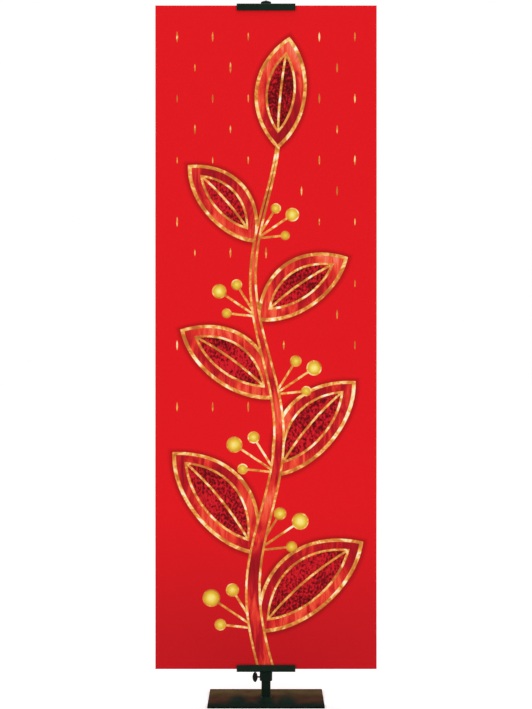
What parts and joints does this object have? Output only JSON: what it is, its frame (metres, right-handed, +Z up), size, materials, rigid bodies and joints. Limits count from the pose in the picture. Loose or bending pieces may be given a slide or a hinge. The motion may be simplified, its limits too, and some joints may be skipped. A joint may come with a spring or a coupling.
{
  "type": "cloth banner on a floor stand",
  "caption": "Tall flat printed cloth banner, gripped at the middle of its top and bottom edges in short channels on a round pole with a flat rectangular base plate.",
  "frame": {"origin": "on the floor, under the middle of the base plate and on the pole's axis", "axes": "+Z up along the pole, +X to the right along the banner's width as seen from the front, +Y to the back; the printed face looks to -Y"},
  "size_m": [0.61, 0.203, 1.9388],
  "materials": {
    "printed_cloth": "smooth plain-woven polyester, printed in red with gold lines",
    "base_lacquer": "dark bronze-brown gloss lacquer on flat steel",
    "black_paint": "satin black paint on steel",
    "screw_black": "black oxide on a die-cast thumb screw"
  },
  "bodies": {
    "stand": {"base_plate": "base_lacquer", "pole": "black_paint", "pole_cap": "black_paint", "top_channel": "black_paint", "bottom_channel": "black_paint", "bottom_collar": "black_paint", "banner_cloth": "printed_cloth"},
    "clamp_screw": {"thumb_screw": "screw_black"}
  },
  "joints": [
    {"name": "clamp_screw_turn", "type": "hinge", "parent": "stand", "child": "clamp_screw", "pos_m": [-0.0303, 0, 0.063], "axis": [-1, 0, 0], "range_deg": [0, 270]}
  ]
}
